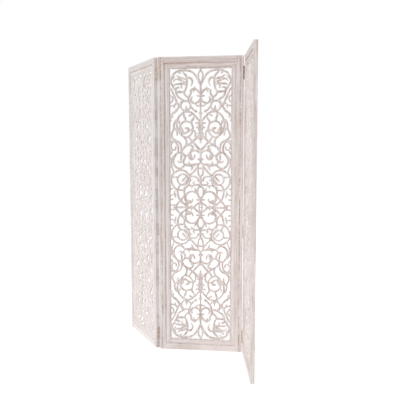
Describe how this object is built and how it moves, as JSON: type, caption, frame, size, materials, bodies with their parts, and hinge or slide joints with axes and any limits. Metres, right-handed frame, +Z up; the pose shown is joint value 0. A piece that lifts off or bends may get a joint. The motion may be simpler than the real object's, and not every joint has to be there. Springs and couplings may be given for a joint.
{
  "type": "carved jali screen",
  "caption": "Free-standing folding screen of hinged panels, each a framed board of pierced arabesque fretwork that lets light and air through.",
  "frame": {"origin": "on the floor under the middle of the centre panel, at the middle of its thickness", "axes": "+Z up, +X to the right along the centre panel, +Y to its back; the left panel folds back and the right panel folds forward"},
  "size_m": [0.9094, 0.9629, 1.778],
  "materials": {
    "frame_boards": "whitewashed, matt, worn to brown at the edges",
    "mouldings": "whitewashed, matt, brown in the grooves",
    "fretwork": "whitewashed, matt, with brown showing at the carved edges",
    "hinge_leaves": "blackened steel, satin",
    "hinge_pins": "blackened steel, satin"
  },
  "bodies": {
    "left_panel": {"left_panel_stile_left": "frame_boards", "left_panel_stile_right": "frame_boards", "left_panel_rail_bottom": "frame_boards", "left_panel_rail_top": "frame_boards", "left_panel_moulding_bottom": "mouldings", "left_panel_moulding_left": "mouldings", "left_panel_moulding_top": "mouldings", "left_panel_moulding_right": "mouldings", "left_panel_fretwork": "fretwork", "left_bottom_hinge_wing_leaf": "hinge_leaves", "left_middle_hinge_wing_leaf": "hinge_leaves", "left_top_hinge_wing_leaf": "hinge_leaves"},
    "centre_panel": {"centre_panel_stile_left": "frame_boards", "centre_panel_stile_right": "frame_boards", "centre_panel_rail_bottom": "frame_boards", "centre_panel_rail_top": "frame_boards", "centre_panel_moulding_bottom": "mouldings", "centre_panel_moulding_left": "mouldings", "centre_panel_moulding_top": "mouldings", "centre_panel_moulding_right": "mouldings", "centre_panel_fretwork": "fretwork", "left_bottom_hinge_centre_leaf": "hinge_leaves", "left_bottom_hinge_pin": "hinge_pins", "left_middle_hinge_centre_leaf": "hinge_leaves", "left_middle_hinge_pin": "hinge_pins", "left_top_hinge_centre_leaf": "hinge_leaves", "left_top_hinge_pin": "hinge_pins", "right_bottom_hinge_centre_leaf": "hinge_leaves", "right_bottom_hinge_pin": "hinge_pins", "right_middle_hinge_centre_leaf": "hinge_leaves", "right_middle_hinge_pin": "hinge_pins", "right_top_hinge_centre_leaf": "hinge_leaves", "right_top_hinge_pin": "hinge_pins"},
    "right_panel": {"right_panel_stile_left": "frame_boards", "right_panel_stile_right": "frame_boards", "right_panel_rail_bottom": "frame_boards", "right_panel_rail_top": "frame_boards", "right_panel_moulding_bottom": "mouldings", "right_panel_moulding_left": "mouldings", "right_panel_moulding_top": "mouldings", "right_panel_moulding_right": "mouldings", "right_panel_fretwork": "fretwork", "right_bottom_hinge_wing_leaf": "hinge_leaves", "right_middle_hinge_wing_leaf": "hinge_leaves", "right_top_hinge_wing_leaf": "hinge_leaves"}
  },
  "joints": [
    {"name": "left_fold", "type": "hinge", "parent": "centre_panel", "child": "left_panel", "pos_m": [-0.2565, 0.0145, 0.889], "axis": [0, 0, -1], "range_deg": [-58, 122]},
    {"name": "right_fold", "type": "hinge", "parent": "centre_panel", "child": "right_panel", "pos_m": [0.2565, -0.0145, 0.889], "axis": [0, 0, -1], "range_deg": [-81, 99]}
  ]
}
